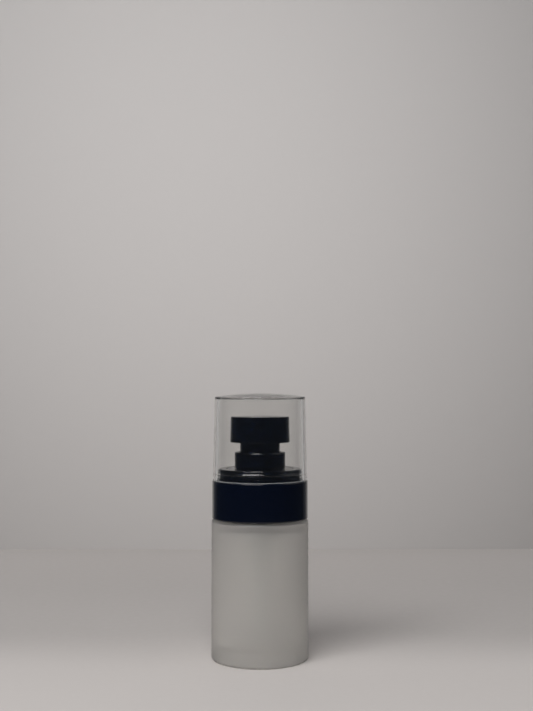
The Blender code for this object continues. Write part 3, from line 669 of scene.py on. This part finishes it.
def make_overcap(clear, rim):
    """A drafted cap with a low dome, a satin rim, and a low bead level with the ring's upper groove."""
    radius = radius_of("overcap")
    bottom = stand_level
    top = top_of("overcap")
    ceiling = top - OVERCAP_TOP_THICKNESS
    inner_foot = radius - OVERCAP_WALL
    bead_level = deck_top - SNAP_GROOVE_DROPS[0] - SNAP_GROOVE_HEIGHTS[0] / 2
    bead_base = inner_foot - OVERCAP_DRAFT * (bead_level - bottom) / (ceiling - bottom)
    top_radius = radius - OVERCAP_DRAFT
    dome = []
    for step in range(OVERCAP_DOME_STEPS):
        share = step / OVERCAP_DOME_STEPS
        dome.append((top_radius * share, top - OVERCAP_DOME_RISE * share**2))
    corners = dome + [
        (top_radius, top - OVERCAP_DOME_RISE, OVERCAP_EDGE),
        (radius, bottom, OVERCAP_RIM_EDGE),
        (inner_foot, bottom, OVERCAP_RIM_EDGE),
        (bead_base, bead_level - OVERCAP_BEAD_HEIGHT / 2, OVERCAP_BEAD_HEIGHT),
        (inner_foot - OVERCAP_BEAD_PROUD, bead_level, OVERCAP_BEAD_HEIGHT),
        (bead_base, bead_level + OVERCAP_BEAD_HEIGHT / 2, OVERCAP_BEAD_HEIGHT),
        (top_radius - OVERCAP_WALL, ceiling, OVERCAP_INNER_EDGE),
        (0, ceiling),
    ]
    cap = turned("clear_cap", rounded(corners, closed=False), [clear, rim], closed=False)
    for face in cap.data.polygons:
        if face.center.z < bottom + OVERCAP_RIM_EDGE:
            face.material_index = 1
    seat(cap, "cap", "clear_plastic", "overcap")


def make_gasket(foam):
    bottom = bottom_of("neck_gasket")
    top = top_of("neck_gasket")
    corners = [
        (neck_radius, top, GROOVE_EDGE),
        (neck_radius, bottom, GROOVE_EDGE),
        (neck_bore, bottom, GROOVE_EDGE),
        (neck_bore, top, GROOVE_EDGE),
    ]
    seat(turned("gasket", rounded(corners), [foam]), "pump_core", "gasket_foam", "neck_gasket")


def make_housing(natural):
    flange_radius = radius_of("pump_housing")
    flange_bottom = flange_top - FLANGE_THICKNESS
    socket_top = top_of("dip_tube") + SEAT_GAP
    socket_bottom = bottom_of("pump_housing")
    socket_bore = tube_radius + SEAT_GAP
    socket_radius = socket_bore + TUBE_SOCKET_WALL
    seat_level = socket_top + INLET_WEB
    taper_bottom = seat_level - HOUSING_WALL
    pocket_radius = ball_radius + BALL_POCKET_GAP
    chamber_floor = bottom_of("ball_retainer") - SEAT_GAP
    corners = [
        (flange_radius, flange_top, GROOVE_EDGE),
        (flange_radius, flange_bottom, GROOVE_EDGE),
        (housing_radius, flange_bottom, HOUSING_FILLET),
        (housing_radius, taper_bottom + HOUSING_TAPER_HEIGHT, HOUSING_FILLET),
        (socket_radius, taper_bottom, HOUSING_FILLET),
        (socket_radius, socket_bottom, GROOVE_EDGE),
        (socket_bore, socket_bottom, GROOVE_EDGE),
        (socket_bore, socket_top, GROOVE_EDGE),
        (INLET_RADIUS, socket_top, GROOVE_EDGE),
        (INLET_RADIUS, seat_level, GROOVE_EDGE),
        (pocket_radius, seat_level + pocket_radius - INLET_RADIUS, GROOVE_EDGE),
        (pocket_radius, chamber_floor, GROOVE_EDGE),
        (chamber_radius, chamber_floor, GROOVE_EDGE),
        (chamber_radius, flange_top, GROOVE_EDGE),
    ]
    housing = turned("pump_barrel", rounded(corners), [natural], SMALL_SIDES)
    level = flange_bottom - VENT_DROP
    combine(housing, rod(VENT_RADIUS, (0, 0, level), (0, 2 * housing_radius, level)), "DIFFERENCE")
    seat(housing, "pump_core", "natural_plastic", "pump_housing")


def make_guide(natural):
    bottom = bottom_of("stem_guide")
    top = top_of("stem_guide")
    flange_seat = flange_top + SEAT_GAP
    flange_face = flange_seat + GUIDE_FLANGE_THICKNESS
    guide_radius = guide_bore + GUIDE_WALL
    corners = [
        (guide_radius, top, MOULDED_EDGE),
        (guide_radius, flange_face, MOULDED_EDGE),
        (radius_of("stem_guide"), flange_face, MOULDED_EDGE),
        (radius_of("stem_guide"), flange_seat, GROOVE_EDGE),
        (plug_radius, flange_seat, GROOVE_EDGE),
        (plug_radius, bottom, MOULDED_EDGE),
        (guide_bore, bottom, GROOVE_EDGE),
        (guide_bore, top, MOULDED_EDGE),
    ]
    guide = turned("guide_plug", rounded(corners), [natural], SMALL_SIDES)
    seat(guide, "pump_core", "natural_plastic", "stem_guide")


def make_stem(natural):
    bottom = bottom_of("stem")
    corners = [
        (stem_radius, top_of("stem"), MOULDED_EDGE),
        (stem_radius, bottom, GROOVE_EDGE),
        (stem_bore, bottom, GROOVE_EDGE),
        (stem_bore, top_of("stem"), GROOVE_EDGE),
    ]
    stem = turned("plunger_stem", rounded(corners), [natural], SMALL_SIDES)
    port = block(
        (-2 * stem_radius, -PORT_WIDTH / 2, bottom - PORT_HEIGHT),
        (2 * stem_radius, PORT_WIDTH / 2, bottom + PORT_HEIGHT),
    )
    combine(stem, port, "DIFFERENCE")
    seat(stem, "plunger", "natural_plastic", "stem")


def make_rod(natural):
    top = top_of("piston_rod")
    pin_bottom = bottom_of("piston_rod")
    foot_bottom = pin_bottom + ROD_PIN_LENGTH
    foot_top = foot_bottom + ROD_FOOT_THICKNESS
    foot_radius = radius_of("piston_rod")
    spigot_radius = stem_bore - SEAT_GAP
    corners = [
        (0, top),
        (spigot_radius, top, MOULDED_EDGE),
        (spigot_radius, foot_top, GROOVE_EDGE),
        (foot_radius, foot_top, MOULDED_EDGE),
        (foot_radius, foot_bottom, GROOVE_EDGE),
        (ROD_PIN_RADIUS, foot_bottom, GROOVE_EDGE),
        (ROD_PIN_RADIUS, pin_bottom, HOUSING_FILLET),
        (0, pin_bottom),
    ]
    piston_rod = turned("rod_foot", rounded(corners, closed=False), [natural], SMALL_SIDES, closed=False)
    seat(piston_rod, "plunger", "natural_plastic", "piston_rod")


def make_piston(seal):
    sleeve_radius = guide_bore + PISTON_SLEEVE_WALL
    waist_radius = plug_radius - PISTON_WAIST_DEPTH
    top = top_of("piston_seal")
    bottom = bottom_of("piston_seal")
    corners = [
        (plug_radius, top, GROOVE_EDGE),
        (plug_radius, top - PISTON_LIP_HEIGHT, MOULDED_EDGE),
        (waist_radius, top - 2 * PISTON_LIP_HEIGHT, MOULDED_EDGE),
        (waist_radius, bottom + 2 * PISTON_LIP_HEIGHT, MOULDED_EDGE),
        (plug_radius, bottom + PISTON_LIP_HEIGHT, MOULDED_EDGE),
        (plug_radius, bottom, GROOVE_EDGE),
        (waist_radius, bottom, GROOVE_EDGE),
        (sleeve_radius, bottom + PISTON_HOLLOW_DEPTH, GROOVE_EDGE),
        (sleeve_radius, bottom, GROOVE_EDGE),
        (guide_bore, bottom, GROOVE_EDGE),
        (guide_bore, top, GROOVE_EDGE),
        (sleeve_radius, top, GROOVE_EDGE),
        (sleeve_radius, top - PISTON_HOLLOW_DEPTH, GROOVE_EDGE),
        (waist_radius, top, GROOVE_EDGE),
    ]
    piston = turned("piston", rounded(corners), [seal], SMALL_SIDES)
    seat(piston, "piston", "seal_plastic", "piston_seal")


def make_spring(steel):
    low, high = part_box("return_spring")
    rise = high.z - low.z - 2 * SPRING_WIRE_RADIUS
    spring_radius = radius_of("return_spring") - SPRING_WIRE_RADIUS
    middle_turn_rise = (rise - 2 * SPRING_END_RISE) / (SPRING_TURNS - 2)
    curve = bpy.data.curves.new("spring_wire", "CURVE")
    curve.dimensions = "3D"
    curve.bevel_depth = SPRING_WIRE_RADIUS
    curve.bevel_resolution = SPRING_BEVEL_STEPS
    curve.use_fill_caps = True
    spline = curve.splines.new("POLY")
    spline.points.add(SPRING_TURNS * SPRING_POINTS_A_TURN)
    for number, point in enumerate(spline.points):
        turns = number / SPRING_POINTS_A_TURN
        end_turns = min(turns, 1) + max(turns - (SPRING_TURNS - 1), 0)
        level = end_turns * SPRING_END_RISE + (turns - end_turns) * middle_turn_rise
        x = spring_radius * math.cos(math.tau * turns)
        y = spring_radius * math.sin(math.tau * turns)
        point.co = (x, y, low.z + SPRING_WIRE_RADIUS + level, 1)
    wire = bpy.data.objects.new("spring_wire", curve)
    bpy.context.scene.collection.objects.link(wire)
    evaluated = wire.evaluated_get(bpy.context.evaluated_depsgraph_get())
    spring = bpy.data.objects.new("coil_spring", bpy.data.meshes.new_from_object(evaluated))
    bpy.context.scene.collection.objects.link(spring)
    bpy.data.objects.remove(wire)
    spring.data.materials.append(steel)
    smooth(spring)
    seat(spring, "pump_core", "spring_steel", "return_spring")
    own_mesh(spring)


def make_cage(natural):
    bottom = bottom_of("ball_retainer")
    top = top_of("ball_retainer")
    ceiling = top - CAGE_TOP_THICKNESS
    corners = [
        (0, top),
        (plug_radius, top, MOULDED_EDGE),
        (plug_radius, bottom, GROOVE_EDGE),
        (plug_radius - CAGE_WALL, bottom, GROOVE_EDGE),
        (plug_radius - CAGE_WALL, ceiling, GROOVE_EDGE),
        (0, ceiling),
    ]
    cage = turned("ball_cage", rounded(corners, closed=False), [natural], SMALL_SIDES, closed=False)
    for number in range(CAGE_SLOTS):
        angle = math.tau * (number + 0.5) / CAGE_SLOTS
        x = CAGE_SLOT_CIRCLE_RADIUS * math.cos(angle)
        y = CAGE_SLOT_CIRCLE_RADIUS * math.sin(angle)
        combine(cage, rod(CAGE_SLOT_RADIUS, (x, y, bottom), (x, y, top + CAGE_WALL)), "DIFFERENCE")
    seat(cage, "pump_core", "natural_plastic", "ball_retainer")


def make_ball(glass):
    low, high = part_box("check_ball")
    bm = bmesh.new()
    bmesh.ops.create_icosphere(bm, subdivisions=BALL_SUBDIVISIONS, radius=ball_radius)
    ball = new_piece("valve_ball", bm, glass)
    ball.location.z = (low.z + high.z) / 2
    seat(ball, "inlet_ball", "ball_glass", "check_ball")


def make_dip_tube(natural):
    bottom = bottom_of("dip_tube")
    bore = tube_radius - TUBE_WALL
    corners = [
        (tube_radius, top_of("dip_tube"), GROOVE_EDGE),
        (tube_radius, bottom),
        (bore, bottom),
        (bore, top_of("dip_tube"), GROOVE_EDGE),
    ]
    tube = turned("suction_tube", rounded(corners), [natural], SMALL_SIDES)
    reach = 4 * tube_radius
    turn = Matrix.Translation((-tube_radius, 0, bottom)) @ Matrix.Rotation(-TUBE_CUT_ANGLE, 4, "Y")
    combine(tube, block((-reach, -reach, -reach), (reach, reach, 0), turn), "DIFFERENCE")
    seat(tube, "pump_core", "natural_plastic", "dip_tube")


def grained(name, grain, colours, roughness, relief, **sockets):
    """A material with noise of this size between two colours and two roughnesses, and with relief.

    Every other value goes to the shader's socket of that name.
    """
    material = bpy.data.materials.new(name)
    material.use_nodes = True
    tree = material.node_tree
    shader = tree.nodes["Principled BSDF"]
    for socket, value in sockets.items():
        label = socket.replace("_", " ").title().replace("Ior", "IOR")
        shader.inputs[label].default_value = value
    place = tree.nodes.new("ShaderNodeTexCoord")
    noise = tree.nodes.new("ShaderNodeTexNoise")
    noise.inputs["Scale"].default_value = 1 / grain
    noise.inputs["Detail"].default_value = GRAIN_DETAIL
    tree.links.new(place.outputs["Object"], noise.inputs["Vector"])
    level = noise.outputs["Fac"]
    tree.links.new(mixed_colour(tree, level, *colours), shader.inputs["Base Color"])
    tree.links.new(mapped(tree, level, GRAIN_ENDS, roughness), shader.inputs["Roughness"])
    bump = tree.nodes.new("ShaderNodeBump")
    bump.inputs["Distance"].default_value = relief
    tree.links.new(level, bump.inputs["Height"])
    tree.links.new(bump.outputs["Normal"], shader.inputs["Normal"])
    return material


def mixed_colour(tree, share, first, second):
    """A mix of two colours, each of them three numbers or another node's output."""
    mix = tree.nodes.new("ShaderNodeMix")
    mix.data_type = "RGBA"
    for name, colour in (("A", first), ("B", second)):
        if isinstance(colour, tuple):
            mix.inputs[name].default_value = (*colour, 1)
        else:
            tree.links.new(colour, mix.inputs[name])
    tree.links.new(share, mix.inputs["Factor"])
    return mix.outputs["Result"]


def mapped(tree, value, edges, ends, interpolation="LINEAR"):
    """The value, spread from between these edges to between these ends."""
    spread = tree.nodes.new("ShaderNodeMapRange")
    spread.interpolation_type = interpolation
    for name, number in zip(("From Min", "From Max", "To Min", "To Max"), (*edges, *ends)):
        spread.inputs[name].default_value = number
    tree.links.new(value, spread.inputs["Value"])
    return spread.outputs["Result"]


def soft_step(tree, value, edges, end):
    """A smooth change from 1 to the end between these two values."""
    return mapped(tree, value, edges, (1, end), "SMOOTHSTEP")


def math_node(tree, operation, *values):
    """A Math node's output. Each of its inputs is a number or another node's output."""
    node = tree.nodes.new("ShaderNodeMath")
    node.operation = operation
    for socket, value in zip(node.inputs, values):
        if isinstance(value, (int, float)):
            socket.default_value = value
        else:
            tree.links.new(value, socket)
    return node.outputs[0]


def split(tree, vector):
    """The X, Y and Z of another node's vector."""
    parts = tree.nodes.new("ShaderNodeSeparateXYZ")
    tree.links.new(vector, parts.inputs["Vector"])
    return parts.outputs


def scaled_colour(material):
    """The place on a material, and a socket for the number that its colour is multiplied by."""
    tree = material.node_tree
    shader = tree.nodes["Principled BSDF"]
    scaled = tree.nodes.new("ShaderNodeVectorMath")
    scaled.operation = "SCALE"
    tree.links.new(shader.inputs["Base Color"].links[0].from_socket, scaled.inputs[0])
    tree.links.new(scaled.outputs["Vector"], shader.inputs["Base Color"])
    place = tree.nodes.new("ShaderNodeTexCoord")
    return place.outputs["Object"], scaled.inputs["Scale"]


def make_glass():
    """The bottle's glass: frosted outside with painted shade above, polished inside, and satin round the
    shoulder's fillet, painted darker there as the collar's shade.
    """
    frosted = grained(
        "frosted_glass", grain=0.12 * MM, relief=0.002 * MM, roughness=(0.62, 0.7),
        colours=((0.845, 0.82, 0.785), (0.88, 0.855, 0.82)),
        transmission_weight=0.8, ior=1.5, specular_ior_level=0.3,
    )
    place, scale = scaled_colour(frosted)
    tree = frosted.node_tree
    # Painted shade on the frosted glass's colour, darker above
    tree.links.new(soft_step(tree, split(tree, place)["Z"], FROST_EDGES, FROST_SHADE), scale)
    # Satin glass, its colour painted darker as the collar's shade on the shoulder's fillet
    satin = grained(
        "satin_glass_painted_shade", grain=0.12 * MM, relief=0.002 * MM, roughness=(0.35, 0.45),
        colours=((0.5, 0.485, 0.47), (0.55, 0.535, 0.515)),
        transmission_weight=0.9, ior=1.5, specular_ior_level=0.2,
    )
    polished = grained(
        "polished_glass", grain=6 * MM, relief=0.02 * MM, roughness=(0.02, 0.05),
        colours=((0.95, 0.965, 0.955), (0.97, 0.975, 0.965)),
        transmission_weight=1.0, ior=1.5,
    )
    return frosted, polished, satin


def make_materials():
    """One material for each of the record's slots, and more for the other glass and the cap's rim."""
    glass = make_glass()
    clear = grained(
        "clear_plastic", grain=9 * MM, relief=0.002 * MM, roughness=(0.0, 0.02),
        colours=((0.945, 0.945, 0.935), (0.955, 0.955, 0.945)),
        transmission_weight=1.0, ior=1.5,
    )
    rim = grained(
        "clear_rim", grain=0.2 * MM, relief=0.004 * MM, roughness=(0.4, 0.55),
        colours=((0.86, 0.87, 0.86), (0.92, 0.92, 0.91)),
        transmission_weight=0.6, ior=1.5,
    )
    gloss_black = grained(
        "gloss_black", grain=1.5 * MM, relief=0.0006 * MM, roughness=(0.05, 0.1),
        colours=((0.0009, 0.0025, 0.0082), (0.0015, 0.0031, 0.0095)), ior=1.5,
    )
    black = grained(
        "moulded_black", grain=0.6 * MM, relief=0.001 * MM, roughness=(0.12, 0.2),
        colours=((0.0022, 0.0036, 0.009), (0.0042, 0.0056, 0.011)), ior=1.5,
    )
    natural = grained(
        "natural_plastic", grain=1.2 * MM, relief=0.003 * MM, roughness=(0.3, 0.42),
        colours=((0.8, 0.82, 0.8), (0.86, 0.87, 0.85)),
        transmission_weight=0.55, ior=1.5,
    )
    seal = grained(
        "seal_plastic", grain=0.8 * MM, relief=0.003 * MM, roughness=(0.45, 0.6),
        colours=((0.84, 0.84, 0.81), (0.89, 0.89, 0.87)), ior=1.5,
    )
    foam = grained(
        "gasket_foam", grain=0.15 * MM, relief=0.02 * MM, roughness=(0.7, 0.9),
        colours=((0.78, 0.78, 0.75), (0.88, 0.88, 0.86)), ior=1.4,
    )
    steel = grained(
        "spring_steel", grain=0.25 * MM, relief=0.001 * MM, roughness=(0.18, 0.34),
        colours=((0.55, 0.55, 0.57), (0.66, 0.66, 0.68)), metallic=1.0,
    )
    ball_glass = grained(
        "ball_glass", grain=1 * MM, relief=0.0005 * MM, roughness=(0.0, 0.03),
        colours=((0.88, 0.94, 0.91), (0.92, 0.96, 0.94)),
        transmission_weight=1.0, ior=1.52,
    )
    return glass, clear, rim, gloss_black, black, natural, seal, foam, steel, ball_glass


def make_stage_paint(name, colour):
    """Grained pale paint, its place, and the socket of the number that its colour is multiplied by."""
    paler = tuple(STAGE_GRAIN_CONTRAST * part for part in colour)
    paint = grained(
        name, grain=STAGE_GRAIN, relief=STAGE_RELIEF, roughness=STAGE_ROUGHNESS, colours=(colour, paler)
    )
    return paint, *scaled_colour(paint)


def make_wall_paint():
    """Painted light: palest at one place, and darker all round it, as if a lamp lit the wall from above."""
    paint, place, scale = make_stage_paint("wall_paint", WALL_COLOUR)
    tree = paint.node_tree
    from_peak = tree.nodes.new("ShaderNodeVectorMath")
    from_peak.operation = "DISTANCE"
    from_peak.inputs[1].default_value = WALL_PAINTED_LIGHT_PEAK
    tree.links.new(place, from_peak.inputs[0])
    squared = math_node(tree, "POWER", from_peak.outputs["Value"], 2)
    tree.links.new(math_node(tree, "EXPONENT", math_node(tree, "MULTIPLY", squared, -WALL_PAINTED_FALLOFF)), scale)
    return paint


def make_floor_paint():
    """Painted light and shade: paler in front than behind the bottle, a little paler again near the wall,
    and fading to one side.
    """
    paint, place, scale = make_stage_paint("floor_paint", FLOOR_COLOUR)
    tree = paint.node_tree
    axes = split(tree, place)
    shade = soft_step(tree, axes["Y"], FLOOR_SHADE_EDGES, FLOOR_SHADE)
    painted_lift = soft_step(tree, axes["Y"], FLOOR_FAR_EDGES, FLOOR_FAR_PAINTED_LIGHT)
    across = math_node(tree, "EXPONENT", math_node(tree, "MULTIPLY", axes["X"], FLOOR_SIDE_PAINTED_FADE))
    along = math_node(tree, "MULTIPLY", shade, painted_lift)
    tree.links.new(math_node(tree, "MULTIPLY", along, across), scale)
    return paint


def make_stage():
    """A round pale floor, cut off behind by a pale wall."""
    half_width = math.sqrt(STAGE_RADIUS**2 - WALL_DISTANCE**2)
    first_angle = math.atan2(WALL_DISTANCE, half_width)
    sweep = math.pi + 2 * first_angle
    bm = bmesh.new()
    rim = []
    for side in range(STAGE_SIDES + 1):
        angle = math.pi - first_angle + sweep * side / STAGE_SIDES
        rim.append(bm.verts.new((STAGE_RADIUS * math.cos(angle), STAGE_RADIUS * math.sin(angle), 0)))
    bm.faces.new(rim)
    top = [bm.verts.new((x, WALL_DISTANCE, WALL_HEIGHT)) for x in (half_width, -half_width)]
    wall = bm.faces.new((rim[0], rim[-1], *top))
    wall.material_index = 1
    new_piece("studio_stage", bm, make_floor_paint(), make_wall_paint())


def make_world():
    """A dark room, paler above and behind, and a plain pale backdrop to the camera and through clear walls.

    Black parts inside the overcap would turn grey if its inner face mirrored the backdrop, so a ray sees it
    only before any reflection, or straight behind after one wall at most.
    """
    world = bpy.data.worlds.new("studio")
    bpy.context.scene.world = world
    world.use_nodes = True
    tree = world.node_tree
    direction = tree.nodes.new("ShaderNodeTexCoord")
    axes = split(tree, direction.outputs["Generated"])
    up_and_back = math_node(tree, "MULTIPLY_ADD", axes["Z"], SKY_LIFT, axes["Y"])
    room = mixed_colour(tree, mapped(tree, up_and_back, ROOM_EDGES, (0, 1)), ROOM_COLOUR, SKY_COLOUR)
    path = tree.nodes.new("ShaderNodeLightPath").outputs
    unreflected = math_node(tree, "LESS_THAN", path["Glossy Depth"], NO_REFLECTION)
    near = math_node(tree, "LESS_THAN", path["Transmission Depth"], ONE_WALL)
    behind = math_node(tree, "GREATER_THAN", axes["Y"], STRAIGHT_BEHIND)
    one_wall = math_node(tree, "MULTIPLY", near, behind)
    plain = math_node(tree, "MAXIMUM", unreflected, one_wall)
    through = math_node(tree, "MULTIPLY", path["Is Transmission Ray"], plain)
    seen = math_node(tree, "MAXIMUM", path["Is Camera Ray"], through)
    shown = mixed_colour(tree, seen, room, SEEN_COLOUR)
    tree.links.new(shown, tree.nodes["Background"].inputs["Color"])


def area_light(name, azimuth, elevation, distance, width, height, radiance):
    """A soft box that faces the bottle. Azimuth 0 is the camera's side, and more turns to its right."""
    light = bpy.data.lights.new(name, "AREA")
    light.shape = "RECTANGLE"
    light.size = width
    light.size_y = height
    light.energy = math.pi * width * height * radiance
    lamp = bpy.data.objects.new(name, light)
    bpy.context.scene.collection.objects.link(lamp)
    around, up = math.radians(azimuth), math.radians(elevation)
    towards = Vector((math.sin(around) * math.cos(up), -math.cos(around) * math.cos(up), math.sin(up)))
    lamp.location = LIGHT_TARGET + towards * distance
    lamp.rotation_euler = towards.to_track_quat("Z", "Y").to_euler()


def make_lights():
    area_light("key_softbox", *KEY_SOFTBOX)
    area_light("left_window", *LEFT_WINDOW)
    area_light("right_fill", *RIGHT_FILL)


def make_camera():
    data = bpy.data.cameras.new("camera")
    data.sensor_fit = "VERTICAL"
    data.sensor_height = SENSOR_HEIGHT
    data.lens = SENSOR_HEIGHT * FOCAL_PIXELS / FRAME_HEIGHT_PIXELS
    data.clip_start = CAMERA_CLIP
    camera = bpy.data.objects.new("camera", data)
    bpy.context.scene.collection.objects.link(camera)
    camera.location = (0, -CAMERA_DISTANCE, CAMERA_HEIGHT)
    camera.rotation_euler = (math.radians(90 + CAMERA_PITCH), 0, math.radians(-CAMERA_YAW))
    bpy.context.scene.camera = camera


def main():
    glass, clear, rim, gloss_black, black, natural, seal, foam, steel, ball_glass = make_materials()
    make_bottle(glass)
    make_collar(gloss_black)
    make_screw_closure(black)
    make_cap_seat_ring(gloss_black)
    make_ferrule(gloss_black)
    make_button(gloss_black)
    make_nozzle(black)
    make_overcap(clear, rim)
    make_gasket(foam)
    make_housing(natural)
    make_guide(natural)
    make_stem(natural)
    make_rod(natural)
    make_piston(seal)
    make_spring(steel)
    make_cage(natural)
    make_ball(ball_glass)
    make_dip_tube(natural)
    make_stage()
    make_world()
    make_lights()
    make_camera()
    bpy.context.scene.view_settings.view_transform = "Standard"


main()
